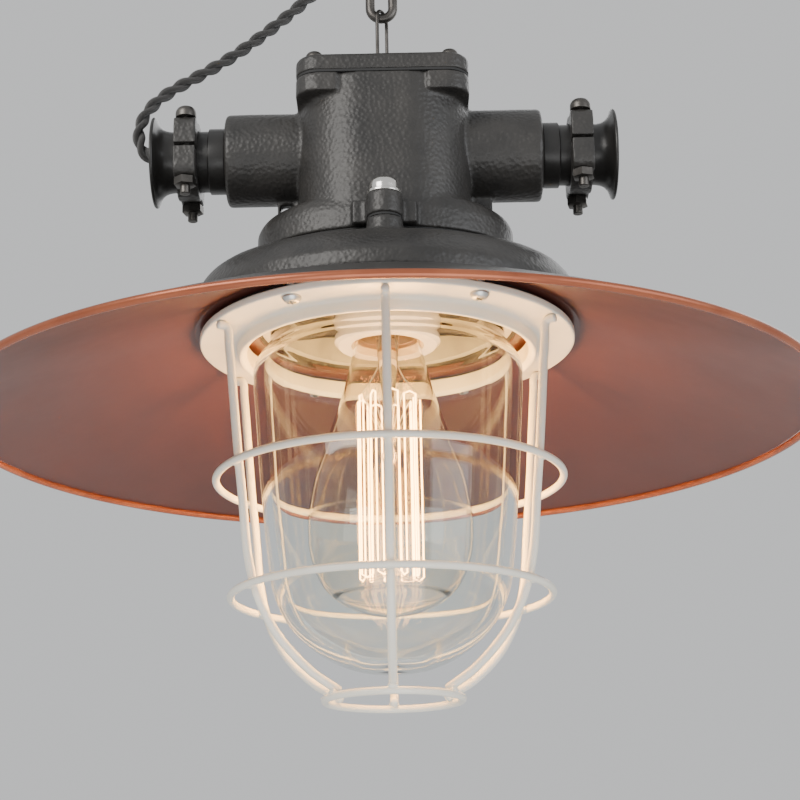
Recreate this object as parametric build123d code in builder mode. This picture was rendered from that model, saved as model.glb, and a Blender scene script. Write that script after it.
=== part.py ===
"""Pendant ceiling light: caged glass well light with a flared steel shade, hung by a short chain.

Units are millimetres and +Z is up. The origin is the centre of the ceiling canopy's mounting face.
X runs through the two cable glands, and the front boss of the casting is at -Y.
Heights are given above the deck, which is the underside of the white guard flange.
"""
import os
from math import cos, pi, radians, sin, tan

from build123d import *

# Driving dimensions
ceiling_drop = 206.0        # ceiling face down to the deck
sheet = 1.2                 # pressed steel sheet
shade_rim_r = 168.1         # centre of the rolled bead
shade_rim_h = -32.1
bead_r = 1.55
casting_r = 76.0            # round foot of the dome casting
guard_r = 74.0              # outer radius of the guard flange
collar_r = 59.0             # outer radius of the collar under the guard flange
collar_bore_r = 55.6
collar_drop = 5.0
guard_screw_r = 69.8        # pitch radius of the guard screws
guard_screw_angles = (29.5, 150.5, 209.5, 330.5)
jar_r = 53.0
jar_wall = 4.0
jar_bottom_h = -129.3
jar_neck_r = 46.5
cage_wire_r = 1.65
ring_wire_r = 1.45
rib_count = 6
box_width = 69.0            # junction box across its flats
box_top_h = 104.0
seam_h = 37.6               # joint between junction box and dome casting
hub_r = 18.8                # side hubs that take the cable glands
hub_end_x = 64.0
gland_h = 81.2              # height of the gland axis
thin_wire_r = 0.8           # lower chain link
link_wire_r = 2.0           # upper chain link, eye and ceiling hook
play = 0.35                 # gap left where chain parts bear on each other
cord_r = 2.7                # two twisted strands

# Heights that follow from the parts that they stack on
guard_top_h = 3.2
shade_seat_h = 5.2          # underside of the shade's flat centre
casting_foot_h = shade_seat_h + sheet
canopy_bottom_h = 184.0
eye_bar_h = 124.0
lower_link_bottom_h = eye_bar_h - link_wire_r - thin_wire_r - play
lower_link_top_h = 147.9
upper_link_bottom_h = lower_link_top_h - link_wire_r - thin_wire_r - play
upper_link_top_h = upper_link_bottom_h + 26.0
hook_bar_h = upper_link_top_h - 2 * link_wire_r - play
hook_ring_r = 6.5
eye_ring_r = 4.6


def up(height):
    """Z of a height above the deck."""
    return height - ceiling_drop


def level(height):
    """Horizontal plane at a height above the deck."""
    return Plane.XY.offset(up(height))


os.makedirs("parts", exist_ok=True)


def save(solid, name):
    """Label one sub-part and write its STEP file."""
    solid.label = name
    export_step(solid, f"parts/{name}.step")


# ---------------------------------------------------------------- ceiling fitting

canopy_r = 48.0
canopy_floor_r = 19.0
bracket_length = 78.0
bracket_hole_spacing = 60.0
bracket_thickness = 2.5
cord_grip_x = -13.5
grip_hole_r = 4.6
hook_stem_r = 2.5

with BuildPart() as canopy:
    with BuildSketch(Plane.XZ):
        with BuildLine():
            skirt = Line((canopy_r, up(ceiling_drop)), (canopy_r, up(ceiling_drop - 5)))
            slope = Spline(
                skirt @ 1,
                (canopy_floor_r + 12, up(canopy_bottom_h + 5)),
                (canopy_floor_r, up(canopy_bottom_h)),
                tangents=((0, -1), (-1, 0)),
            )
            Line(slope @ 1, (0, up(canopy_bottom_h)))
            Line((0, up(canopy_bottom_h)), (0, up(ceiling_drop)))
            Line((0, up(ceiling_drop)), skirt @ 0)
        make_face()
    revolve(axis=Axis.Z)
    rim_face = canopy.faces().sort_by(Axis.Z)[-1]
    offset(amount=-sheet, openings=rim_face)
    with Locations((0, 0, up(canopy_bottom_h))):
        Hole(hook_stem_r + 0.15)
    with Locations((cord_grip_x, 0, up(canopy_bottom_h))):
        Hole(grip_hole_r + 0.05)
save(canopy.part, "canopy")

with BuildPart() as ceiling_bracket:
    with BuildSketch(level(ceiling_drop)):
        SlotOverall(bracket_length, 16)
    extrude(amount=-bracket_thickness)
    with Locations((0, 0, up(ceiling_drop))):
        with Locations((-bracket_hole_spacing / 2, 0), (bracket_hole_spacing / 2, 0)):
            Hole(2.4)
        Hole(hook_stem_r + 0.05)
save(ceiling_bracket.part, "ceiling_bracket")

hook_ring_h = hook_bar_h + hook_ring_r
with BuildPart() as ceiling_hook:
    with Locations((0, 0, up(hook_ring_h))):
        Torus(hook_ring_r, link_wire_r, rotation=(0, 90, 0))
    with BuildSketch(level(hook_ring_h + hook_ring_r - 1)):
        Circle(hook_stem_r)
    extrude(amount=ceiling_drop - hook_ring_h - hook_ring_r + 1)
save(ceiling_hook.part, "ceiling_hook")

with BuildPart() as hook_nuts:
    with BuildSketch(level(ceiling_drop - bracket_thickness - 4)):
        RegularPolygon(4.6, 6)
    extrude(amount=4)
    with BuildSketch(level(canopy_bottom_h + sheet)):
        RegularPolygon(4.6, 6)
    extrude(amount=4)
    with Locations((0, 0, up(ceiling_drop))):
        Hole(hook_stem_r + 0.03)
save(hook_nuts.part, "hook_nuts")

with BuildPart() as cord_grip:
    with BuildSketch(level(canopy_bottom_h - 6)):
        with Locations((cord_grip_x, 0)):
            Circle(5.0)
    with BuildSketch(level(canopy_bottom_h - 3)):
        with Locations((cord_grip_x, 0)):
            Circle(5.6)
    loft()
    with BuildSketch(level(canopy_bottom_h - 3)):
        with Locations((cord_grip_x, 0)):
            RegularPolygon(6.4, 6)
    extrude(amount=3)
    with BuildSketch(level(canopy_bottom_h)):
        with Locations((cord_grip_x, 0)):
            Circle(grip_hole_r)
    extrude(amount=6)
    with Locations((cord_grip_x, 0, up(canopy_bottom_h + 6))):
        Hole(cord_r + 0.3)
    with Locations((cord_grip_x, 0, up(canopy_bottom_h - 3))):
        Cone(4.2, cord_r + 0.3, 6, mode=Mode.SUBTRACT)
save(cord_grip.part, "cord_grip")

connector_x = 16.0
with BuildPart() as ceiling_connector:
    with Locations((connector_x, 0, up(ceiling_drop - bracket_thickness - 5.6))):
        Box(9, 20, 7.5)
    with Locations((connector_x, 0, up(ceiling_drop - bracket_thickness - 9))):
        with Locations((0, -5), (0, 5)):
            Cylinder(2.4, 3.2)
save(ceiling_connector.part, "ceiling_connector")

# ---------------------------------------------------------------- chain


def link(plane, bottom_h, top_h, half_width, wire_r):
    """A closed oval link: two straight legs joined by half-round bends."""
    low = up(bottom_h) + half_width
    high = up(top_h) - half_width
    with BuildPart() as ring:
        with BuildLine(plane) as loop:
            Line((-half_width, low), (-half_width, high))
            ThreePointArc((-half_width, high), (0, up(top_h)), (half_width, high))
            Line((half_width, high), (half_width, low))
            ThreePointArc((half_width, low), (0, up(bottom_h)), (-half_width, low))
        start = loop.line @ 0
        with BuildSketch(Plane(origin=start, z_dir=loop.line % 0)):
            Circle(wire_r)
        sweep(path=loop.line)
    return ring.part


upper_link_half = 4.7
lower_link_half = 4.1
lower_link_turn = 62.0      # the thin link hangs turned about the vertical
face_on = Plane(origin=(0, 0, 0), x_dir=(1, 0, 0), z_dir=(0, -1, 0))
turned = Plane(
    origin=(0, 0, 0),
    x_dir=(cos(radians(lower_link_turn)), sin(radians(lower_link_turn)), 0),
    z_dir=(sin(radians(lower_link_turn)), -cos(radians(lower_link_turn)), 0),
)
upper_link = link(face_on, upper_link_bottom_h, upper_link_top_h, upper_link_half, link_wire_r)
save(upper_link, "upper_link")
lower_link = link(turned, lower_link_bottom_h, lower_link_top_h, lower_link_half, thin_wire_r)
save(lower_link, "lower_link")

# ---------------------------------------------------------------- junction box

box_corner_r = 26.0
cover_corner_r = 9.0
cover_thickness = 7.0
gasket_thickness = 1.0
cover_h = box_top_h + gasket_thickness
cover_top_h = cover_h + cover_thickness
cover_screw_pitch = 54.0
ear_h = 96.0
wall = 4.5
foot_half_x = 51.4          # oval foot of the junction box
foot_half_y = 35.6
foot_top_h = 53.0
boss_y = -43.0              # housing bolts stand in bosses front and back
boss_r = 7.0
boss_top_h = 47.0
boss_foot_h = 25.0
hub_bore_r = 11.0
web_x = 43.4

with BuildPart() as junction_box:
    # body
    with BuildSketch(level(seam_h)):
        RectangleRounded(box_width, box_width, box_corner_r)
    extrude(amount=box_top_h - seam_h)
    # oval foot that narrows upwards
    with BuildSketch(level(seam_h)):
        Ellipse(foot_half_x, foot_half_y)
    extrude(amount=8.5)
    with BuildSketch(level(seam_h + 8.5)):
        Ellipse(foot_half_x, foot_half_y)
    with BuildSketch(level(seam_h + 12.6)):
        Ellipse(foot_half_x - 2.4, foot_half_y - 0.8)
    with BuildSketch(level(foot_top_h)):
        Ellipse(foot_half_x - 8.6, foot_half_y - 2.0)
    loft()
    # corner ears under the cover
    with BuildSketch(level(ear_h)):
        RectangleRounded(box_width, box_width, cover_corner_r)
        with Locations((0, 0)):
            Rectangle(36, box_width + 1, mode=Mode.SUBTRACT)
    extrude(amount=box_top_h - ear_h)
    # side hubs
    with BuildSketch(Plane.YZ.offset(-hub_end_x)):
        with Locations((0, up(gland_h))):
            Circle(hub_r)
    extrude(amount=2 * hub_end_x)
    hub_rims = junction_box.edges().filter_by(GeomType.CIRCLE).group_by(Axis.X)
    fillet([hub_rims[0][0], hub_rims[-1][0]], 1.6)
    # webs under the hubs
    with BuildSketch(Plane.XZ.offset(-2.5)):
        with Locations((0, up((foot_top_h + gland_h - hub_r) / 2))):
            Rectangle(2 * web_x, gland_h - hub_r - foot_top_h + 5)
    extrude(amount=5)
    with BuildSketch(Plane.XZ.offset(-4)):
        with Locations((-39.4, up(foot_top_h + 4.6))):
            Rectangle(5.4, 6.4)
    extrude(amount=8, mode=Mode.SUBTRACT)
    # ears and bosses for the housing bolts
    with BuildSketch(level(seam_h)):
        Rectangle(25, 2 * (abs(boss_y) - 4.5))
        with Locations((0, boss_y), (0, -boss_y)):
            Circle(boss_r)
        Rectangle(2 * boss_r, 2 * abs(boss_y))
    extrude(amount=boss_top_h - seam_h)
    # inner space
    with BuildSketch(level(seam_h + 5)):
        RectangleRounded(box_width - 2 * wall, box_width - 2 * wall, box_corner_r - wall)
    extrude(amount=box_top_h - seam_h - 5, mode=Mode.SUBTRACT)
    # gland bores, bolt holes, wire passage and cover screw holes
    with BuildSketch(Plane.YZ.offset(-hub_end_x - 1)):
        with Locations((0, up(gland_h))):
            Circle(hub_bore_r)
    extrude(amount=2 * hub_end_x + 2, mode=Mode.SUBTRACT)
    with Locations((0, boss_y, up(boss_top_h)), (0, -boss_y, up(boss_top_h))):
        Hole(3.1, depth=boss_top_h - seam_h)
    with Locations((0, 0, up(seam_h + 5))):
        Hole(12.0, depth=5)
    with Locations((0, 0, up(box_top_h))):
        with GridLocations(cover_screw_pitch, cover_screw_pitch, 2, 2):
            Hole(2.05, depth=box_top_h - ear_h - 1)
save(junction_box.part, "junction_box")

with BuildPart() as cover_gasket:
    with BuildSketch(level(box_top_h)):
        RectangleRounded(box_width - 0.6, box_width - 0.6, cover_corner_r)
        RectangleRounded(box_width - 2 * wall, box_width - 2 * wall, box_corner_r - wall, mode=Mode.SUBTRACT)
        with GridLocations(cover_screw_pitch, cover_screw_pitch, 2, 2):
            Circle(2.3, mode=Mode.SUBTRACT)
    extrude(amount=gasket_thickness)
save(cover_gasket.part, "cover_gasket")

with BuildPart() as box_cover:
    with BuildSketch(level(cover_h)):
        RectangleRounded(box_width, box_width, cover_corner_r)
    extrude(amount=cover_thickness)
    fillet(box_cover.faces().sort_by(Axis.Z)[-1].edges(), 1.8)
    with BuildSketch(level(cover_top_h - 0.5)):
        Circle(25)
    extrude(amount=1.2, taper=30)
    with BuildSketch(level(cover_h)):
        Circle(22)
    extrude(amount=4.0, mode=Mode.SUBTRACT)
    with Locations((0, 0, up(cover_top_h))):
        with GridLocations(cover_screw_pitch, cover_screw_pitch, 2, 2):
            Hole(2.3)
    with Locations((0, 0, up(cover_top_h + 4))):
        Hole(2.6)
save(box_cover.part, "box_cover")

with BuildPart() as cover_screws:
    with BuildSketch(level(cover_top_h)):
        with GridLocations(cover_screw_pitch, cover_screw_pitch, 2, 2):
            Circle(3.6)
    extrude(amount=3.4)
    fillet(cover_screws.faces().sort_by(Axis.Z)[-4:].edges(), 0.8)
    with BuildSketch(level(cover_top_h + 3.4)):
        with GridLocations(cover_screw_pitch, cover_screw_pitch, 2, 2):
            RegularPolygon(1.8, 6)
    extrude(amount=-1.8, mode=Mode.SUBTRACT)
    with BuildSketch(level(ear_h + 1.5)):
        with GridLocations(cover_screw_pitch, cover_screw_pitch, 2, 2):
            Circle(2.0)
    extrude(amount=cover_top_h - ear_h - 1.5)
save(cover_screws.part, "cover_screws")

eye_ring_h = eye_bar_h - eye_ring_r
with BuildPart() as eye_bolt:
    with Locations((0, 0, up(eye_ring_h))):
        Torus(eye_ring_r, link_wire_r, rotation=(90, 0, 0))
    with BuildSketch(level(cover_h - 1)):
        Circle(2.5)
    extrude(amount=eye_ring_h - eye_ring_r - cover_h + 1 + 1)
save(eye_bolt.part, "eye_bolt")

with BuildPart() as eye_nut:
    with BuildSketch(level(cover_h + 0.2)):
        RegularPolygon(4.6, 6)
        Circle(2.53, mode=Mode.SUBTRACT)
    extrude(amount=3.8)
save(eye_nut.part, "eye_nut")

terminal_h = seam_h + 5
with BuildPart() as terminal_block:
    with Locations((0, 14, up(terminal_h + 6))):
        Box(34, 16, 12)
    with BuildSketch(level(terminal_h + 12)):
        with Locations((-11, 14), (0, 14), (11, 14)):
            Circle(3.2)
    extrude(amount=3)
    fillet(terminal_block.edges().filter_by(Axis.Z), 1.0)
    with BuildSketch(Plane.XZ.offset(-24)):
        with Locations((-11, up(terminal_h + 6)), (0, up(terminal_h + 6)), (11, up(terminal_h + 6))):
            Circle(1.9)
    extrude(amount=20, mode=Mode.SUBTRACT)
    with BuildSketch(level(terminal_h + 15)):
        with Locations((-11, 14), (0, 14), (11, 14)):
            Circle(1.8)
    extrude(amount=-9, mode=Mode.SUBTRACT)
save(terminal_block.part, "terminal_block")

with BuildPart() as terminal_screws:
    with BuildSketch(level(terminal_h + 8)):
        with Locations((-11, 14), (0, 14), (11, 14)):
            Circle(1.75)
    extrude(amount=5.5)
    with BuildSketch(level(terminal_h + 13.5)):
        with Locations((-11, 14), (0, 14), (11, 14)):
            Rectangle(3.0, 0.6)
    extrude(amount=-0.8, mode=Mode.SUBTRACT)
save(terminal_screws.part, "terminal_screws")

with BuildPart() as earth_screw:
    with BuildSketch(level(terminal_h)):
        with Locations((20, -14)):
            Circle(3.4)
    extrude(amount=2.6)
    with BuildSketch(level(terminal_h + 2.6)):
        with Locations((20, -14)):
            Rectangle(5, 0.8)
    extrude(amount=-1, mode=Mode.SUBTRACT)
save(earth_screw.part, "earth_screw")

# ---------------------------------------------------------------- cable glands

neck_r = 13.4
waist_neck_r = 12.4
neck_end_x = 74.0
clamp_end_x = 85.0
mouth_x = 94.0
mouth_r = 18.6
throat_r = 6.5
clamp_bolt_y = 14.5
clamp_bolt_x = 79.5
clamp_half_h = 15.8


def gland_plane(side, x):
    """Plane across the gland's axis, facing outwards on that side."""
    return Plane(origin=(side * x, 0, up(gland_h)), x_dir=(0, side, 0), z_dir=(side, 0, 0))


def gland(side):
    """Screwed neck, clamp seat and flared bell mouth, turned from one piece."""
    with BuildPart() as body:
        with BuildSketch(Plane.XZ):
            with BuildLine():
                inner = hub_end_x - 14
                corner = [
                    (inner, up(gland_h + throat_r)),
                    (inner, up(gland_h + hub_bore_r - 0.05)),
                    (hub_end_x + 0.1, up(gland_h + hub_bore_r - 0.05)),
                    (hub_end_x + 0.1, up(gland_h + neck_r)),
                    (neck_end_x - 3.0, up(gland_h + neck_r)),
                    (neck_end_x - 3.0, up(gland_h + waist_neck_r)),
                    (clamp_end_x + 1.5, up(gland_h + waist_neck_r)),
                ]
                Polyline(*corner)
                flare = Spline(
                    corner[-1],
                    (mouth_x - 2.8, up(gland_h + waist_neck_r + 2.4)),
                    (mouth_x - 0.8, up(gland_h + mouth_r)),
                    tangents=((1, 0), (0.3, 1)),
                )
                Line(flare @ 1, (mouth_x, up(gland_h + mouth_r - 0.9)))
                bell = Spline(
                    (mouth_x, up(gland_h + mouth_r - 0.9)),
                    (mouth_x - 5.0, up(gland_h + 9.6)),
                    (clamp_end_x - 4.0, up(gland_h + throat_r)),
                    tangents=((-0.6, -1), (-1, 0)),
                )
                Line(bell @ 1, corner[0])
            make_face()
        revolve(axis=Axis((0, 0, up(gland_h)), (1, 0, 0)))
    if side < 0:
        return mirror(body.part, about=Plane.YZ)
    return body.part


gland_left = gland(-1)
save(gland_left, "gland_left")
gland_right = gland(1)
save(gland_right, "gland_right")


with BuildPart() as cord_clamps:
    # two half saddles round the waist of each gland
    for side in (-1, 1):
        with BuildSketch(gland_plane(side, neck_end_x + 1.2)):
            RectangleRounded(2 * clamp_bolt_y + 9, 26, 4.5)
            Circle(clamp_half_h)
            Circle(waist_neck_r + 0.05, mode=Mode.SUBTRACT)
            Rectangle(60, 1.4, mode=Mode.SUBTRACT)
        extrude(amount=clamp_end_x - neck_end_x - 2.2)
    with BuildSketch(level(gland_h + 20)):
        with GridLocations(2 * clamp_bolt_x, 2 * clamp_bolt_y, 2, 2):
            Circle(2.1)
    extrude(amount=-40, mode=Mode.SUBTRACT)
save(cord_clamps.part, "cord_clamps")

clamp_shank = 14.0
with BuildPart() as clamp_bolts:
    # domed heads above, hexagon nuts below
    with BuildSketch(level(gland_h - clamp_shank - 6)):
        with GridLocations(2 * clamp_bolt_x, 2 * clamp_bolt_y, 2, 2):
            Circle(2.05)
    extrude(amount=2 * clamp_shank + 6)
    with BuildSketch(level(gland_h + 13)):
        with GridLocations(2 * clamp_bolt_x, 2 * clamp_bolt_y, 2, 2):
            Circle(4.2)
    extrude(amount=4.6)
    fillet(clamp_bolts.faces().sort_by(Axis.Z)[-4:].edges(), 2.0)
    with BuildSketch(level(gland_h - 13)):
        with GridLocations(2 * clamp_bolt_x, 2 * clamp_bolt_y, 2, 2):
            RegularPolygon(4.5, 6)
    extrude(amount=-3.6)
save(clamp_bolts.part, "clamp_bolts")


def grommet(side, bore):
    """Rubber seal that the gland presses round the cord."""
    with BuildPart() as seal:
        with BuildSketch(gland_plane(side, hub_end_x - 22)):
            Circle(hub_bore_r - 0.1)
            if bore:
                Circle(bore, mode=Mode.SUBTRACT)
        extrude(amount=8 - 0.05)
    return seal.part


save(grommet(-1, cord_r + 0.05), "grommet_left")
save(grommet(1, 0), "grommet_right")

# ---------------------------------------------------------------- dome casting

casting_top_h = seam_h - 0.8
cavity_r = 50.0
cavity_h = 22.0
ceiling_in_h = 33.6
screw_hole_depth = 6.0
passage_r = 10.5            # wires pass up into the junction box here
holder_screw_x = 22.5
lead_x = 8.0

with BuildPart() as dome_casting:
    with BuildSketch(level(casting_foot_h + 6.5)):
        Circle(casting_r)
    with BuildSketch(level(casting_foot_h + 14.5)):
        Ellipse(casting_r - 1.2, casting_r - 7.0)
    with BuildSketch(level(casting_foot_h + 21.5)):
        Ellipse(casting_r - 6.6, casting_r - 19.0)
    with BuildSketch(level(casting_top_h - 4.0)):
        Ellipse(casting_r - 15.5, foot_half_y + 6.5)
    with BuildSketch(level(casting_top_h)):
        Ellipse(foot_half_x + 0.4, foot_half_y + 0.4)
    loft()
    with BuildSketch(level(casting_foot_h)):
        Circle(casting_r)
    extrude(amount=6.5)
    # bosses that carry the housing bolts
    with BuildSketch(level(boss_foot_h - 13)):
        with Locations((0, boss_y), (0, -boss_y)):
            Circle(boss_r)
        Rectangle(2 * boss_r, 2 * abs(boss_y))
    extrude(amount=casting_top_h - boss_foot_h + 13)
    # space for the lampholder and the neck of the jar
    with BuildSketch(Plane.XZ):
        with BuildLine():
            Polyline(
                (0, up(casting_foot_h)),
                (cavity_r, up(casting_foot_h)),
                (cavity_r, up(cavity_h)),
                (27, up(ceiling_in_h)),
                (0, up(ceiling_in_h)),
                (0, up(casting_foot_h)),
            )
        make_face()
    revolve(axis=Axis.Z, mode=Mode.SUBTRACT)
    with Locations((0, 0, up(casting_top_h))):
        Hole(passage_r)
    with Locations((-holder_screw_x, 0, up(ceiling_in_h + 2.4)), (holder_screw_x, 0, up(ceiling_in_h + 2.4))):
        Hole(1.75, depth=2.4)
    with Locations((0, boss_y, up(casting_top_h)), (0, -boss_y, up(casting_top_h))):
        Hole(2.6, depth=11)
    with Locations((0, 0, up(casting_foot_h + screw_hole_depth))):
        with Locations([Rotation(0, 0, a) * Pos(0, -guard_screw_r, 0) for a in guard_screw_angles]):
            Hole(2.0, depth=screw_hole_depth)
save(dome_casting.part, "dome_casting")

with BuildPart() as housing_gasket:
    with BuildSketch(level(casting_top_h)):
        Ellipse(foot_half_x - 0.8, foot_half_y - 0.8)
        Rectangle(2 * boss_r - 1, 2 * abs(boss_y))
        with Locations((0, boss_y), (0, -boss_y)):
            Circle(boss_r - 0.5)
        Circle(12.0, mode=Mode.SUBTRACT)
        with Locations((0, boss_y), (0, -boss_y)):
            Circle(3.2, mode=Mode.SUBTRACT)
    extrude(amount=seam_h - casting_top_h)
save(housing_gasket.part, "housing_gasket")

with BuildPart() as housing_bolts:
    with BuildSketch(level(casting_top_h - 10)):
        with Locations((0, boss_y), (0, -boss_y)):
            Circle(2.5)
    extrude(amount=boss_top_h - casting_top_h + 11)
    with BuildSketch(level(boss_top_h)):
        with Locations((0, boss_y), (0, -boss_y)):
            Circle(6.6)
    extrude(amount=1.2)
    with BuildSketch(level(boss_top_h + 1.2)):
        with Locations((0, boss_y), (0, -boss_y)):
            Circle(5.6)
    extrude(amount=6.2)
    fillet(housing_bolts.faces().sort_by(Axis.Z)[-2:].edges(), 4.2)
save(housing_bolts.part, "housing_bolts")

# ---------------------------------------------------------------- shade and guard

with BuildPart() as shade:
    with BuildSketch(Plane.XZ):
        with BuildLine():
            inside = Line((cavity_r + 1, up(shade_seat_h)), (casting_r - 1, up(shade_seat_h)))
            fall = Spline(
                inside @ 1,
                ((casting_r + shade_rim_r) / 2, up(-11.6)),
                (shade_rim_r - 1.0, up(shade_rim_h + 0.6)),
                tangents=((1, -0.32), (1, -0.43)),
            )
            lip = Line(fall @ 1, (shade_rim_r - 1.0 + 0.45, up(shade_rim_h + 0.6 + sheet)))
            back = Spline(
                lip @ 1,
                ((casting_r + shade_rim_r) / 2 + 0.45, up(-11.6 + sheet)),
                (casting_r - 1 + 0.35, up(shade_seat_h + sheet)),
                tangents=((-1, 0.43), (-1, 0.32)),
            )
            top = Line(back @ 1, (cavity_r + 1, up(shade_seat_h + sheet)))
            Line(top @ 1, inside @ 0)
        make_face()
        with Locations((shade_rim_r, up(shade_rim_h))):
            Circle(bead_r)
    revolve(axis=Axis.Z)
    with Locations((0, 0, up(shade_seat_h + sheet))):
        with Locations([Rotation(0, 0, a) * Pos(0, -guard_screw_r, 0) for a in guard_screw_angles]):
            Hole(2.3)
save(shade.part, "shade")

with BuildPart() as shade_gasket:
    with BuildSketch(level(guard_top_h)):
        Circle(guard_r - 3.0)
        Circle(collar_r - 1.0, mode=Mode.SUBTRACT)
        with Locations([Rotation(0, 0, a) * Pos(0, -guard_screw_r, 0) for a in guard_screw_angles]):
            Circle(2.3, mode=Mode.SUBTRACT)
    extrude(amount=shade_seat_h - guard_top_h)
save(shade_gasket.part, "shade_gasket")

with BuildPart() as guard_flange:
    with BuildSketch(Plane.XZ):
        with BuildLine():
            Polyline(
                (collar_bore_r, up(guard_top_h)),
                (collar_bore_r, up(-collar_drop + 1)),
                (collar_bore_r + 1.7, up(-collar_drop)),
                (collar_r - 1.0, up(-collar_drop)),
                (collar_r, up(-collar_drop + 1)),
                (collar_r, up(-1.5)),
                (collar_r + 1.5, up(0)),
                (guard_r - 1, up(0)),
                (guard_r, up(1)),
                (guard_r, up(guard_top_h)),
                (collar_bore_r, up(guard_top_h)),
            )
        make_face()
    revolve(axis=Axis.Z)
    with Locations((0, 0, up(guard_top_h))):
        with Locations([Rotation(0, 0, a) * Pos(0, -guard_screw_r, 0) for a in guard_screw_angles]):
            Hole(2.3)
save(guard_flange.part, "guard_flange")

with BuildPart() as guard_screws:
    spots = [Rotation(0, 0, a) * Pos(0, -guard_screw_r, 0) for a in guard_screw_angles]
    with BuildSketch(level(0)):
        with Locations(spots):
            Circle(3.4)
    extrude(amount=-2.2)
    fillet(guard_screws.faces().sort_by(Axis.Z)[:4].edges(), 1.4)
    with BuildSketch(level(-2.2)):
        with Locations(spots):
            Rectangle(3.6, 0.8)
            Rectangle(0.8, 3.6)
    extrude(amount=1.2, mode=Mode.SUBTRACT)
    with BuildSketch(level(0)):
        with Locations(spots):
            Circle(1.95)
    extrude(amount=casting_foot_h + 4.5)
save(guard_screws.part, "guard_screws")

rib_top_r = 69.1
rib_foot_r = 73.0
rib_foot_h = -cage_wire_r - 0.05
rib_low_r = 61.6
rib_low_h = -82.0


def rib(angle):
    """One guard rib: a foot under the flange, a straight leg, then a bend in under the jar."""
    with BuildPart() as wire:
        with BuildLine(Plane.XZ) as run:
            leg = FilletPolyline(
                (rib_foot_r, up(rib_foot_h)),
                (rib_top_r, up(rib_foot_h)),
                (rib_low_r, up(rib_low_h)),
                radius=2.2,
            )
            Spline(
                leg @ 1,
                (57.9, up(-100.3)),
                (46.8, up(-120.2)),
                (35.3, up(-130.4)),
                (23.7, up(-136.9)),
                tangents=((-0.093, -1), (-1, -0.5)),
            )
        with BuildSketch(Plane(origin=run.line @ 0, z_dir=run.line % 0)):
            Circle(cage_wire_r)
        sweep(path=run.line)
    return wire.part.rotate(Axis.Z, angle)


for number in range(rib_count):
    save(rib(-90 + number * 360 / rib_count), f"cage_rib_{number + 1}")


def hoop(radius, height):
    """A wire ring welded round the outside of the ribs."""
    with BuildPart() as ring:
        with BuildSketch(Plane.XZ):
            with Locations((radius, up(height))):
                Circle(ring_wire_r)
        revolve(axis=Axis.Z)
    return ring.part


save(hoop(67.25, -54.5), "cage_ring_upper")
save(hoop(61.3, -100.3), "cage_ring_lower")
save(hoop(25.9, -139.3), "cage_ring_bottom")

# ---------------------------------------------------------------- jar

neck_top_h = 20.0
shoulder_h = -12.0
waist_h = -86.0
waist_r = 47.0

with BuildPart() as jar:
    with BuildSketch(Plane.XZ):
        with BuildLine():
            neck = Line((jar_neck_r, up(neck_top_h)), (jar_neck_r, up(1.5)))
            shoulder = Spline(
                neck @ 1,
                (jar_neck_r + 4.2, up(-4.0)),
                (jar_r, up(shoulder_h)),
                tangents=((0.55, -1), (0, -1)),
            )
            side_wall = Line(shoulder @ 1, (waist_r, up(waist_h)))
            belly = Spline(
                side_wall @ 1,
                (36.2, up(-114.8)),
                (0, up(jar_bottom_h)),
                tangents=((-0.09, -1), (-1, 0)),
            )
            Line(belly @ 1, (0, up(jar_bottom_h + jar_wall)))
            hollow = Spline(
                (0, up(jar_bottom_h + jar_wall)),
                (33.2, up(-112.0)),
                (waist_r - jar_wall, up(waist_h)),
                tangents=((1, 0), (0.09, 1)),
            )
            inner_wall = Line(hollow @ 1, (jar_r - jar_wall, up(shoulder_h)))
            inner_shoulder = Spline(
                inner_wall @ 1,
                (jar_neck_r + 0.6, up(-3.2)),
                (jar_neck_r - jar_wall, up(4.0)),
                tangents=((0, 1), (-0.4, 1)),
            )
            inner_neck = Line(inner_shoulder @ 1, (jar_neck_r - jar_wall, up(neck_top_h)))
            Line(inner_neck @ 1, neck @ 0)
        make_face()
    revolve(axis=Axis.Z)
save(jar.part, "jar")

with BuildPart() as jar_gasket:
    with BuildSketch(level(neck_top_h)):
        Circle(jar_neck_r + 1.4)
        Circle(jar_neck_r - jar_wall - 1.0, mode=Mode.SUBTRACT)
    extrude(amount=2.6)
with BuildPart() as thread_ring:
    with BuildSketch(level(casting_foot_h + 1)):
        Circle(cavity_r - 0.06)
        Circle(jar_neck_r + 0.05, mode=Mode.SUBTRACT)
    extrude(amount=neck_top_h - casting_foot_h - 2)
save(jar_gasket.part, "jar_gasket")
save(thread_ring.part, "jar_thread_ring")

# ---------------------------------------------------------------- lampholder and lamp

holder_r = 21.0
holder_bore_r = 14.4
shell_r = 14.1
cap_r = 13.2
holder_bottom_h = 0.4
holder_top_h = 32.6
contact_h = 27.6

with BuildPart() as holder_body:
    with BuildSketch(Plane.XZ):
        with BuildLine():
            Polyline(
                (holder_bore_r, up(holder_bottom_h)),
                (holder_r - 1.5, up(holder_bottom_h)),
                (holder_r, up(holder_bottom_h + 1.5)),
                (holder_r, up(holder_bottom_h + 19)),
                (holder_r - 3, up(holder_bottom_h + 22)),
                (holder_r - 3, up(holder_top_h)),
                (0, up(holder_top_h)),
                (0, up(contact_h + 2.2)),
                (holder_bore_r, up(contact_h + 2.2)),
                (holder_bore_r, up(holder_bottom_h)),
            )
        make_face()
    revolve(axis=Axis.Z)
    with Locations((0, 0, up(holder_top_h))):
        with Locations((-lead_x, 0), (lead_x, 0)):
            Hole(1.5)
        with Locations((0, -10), (0, 10)):
            Hole(1.7)
save(holder_body.part, "holder_body")

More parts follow.
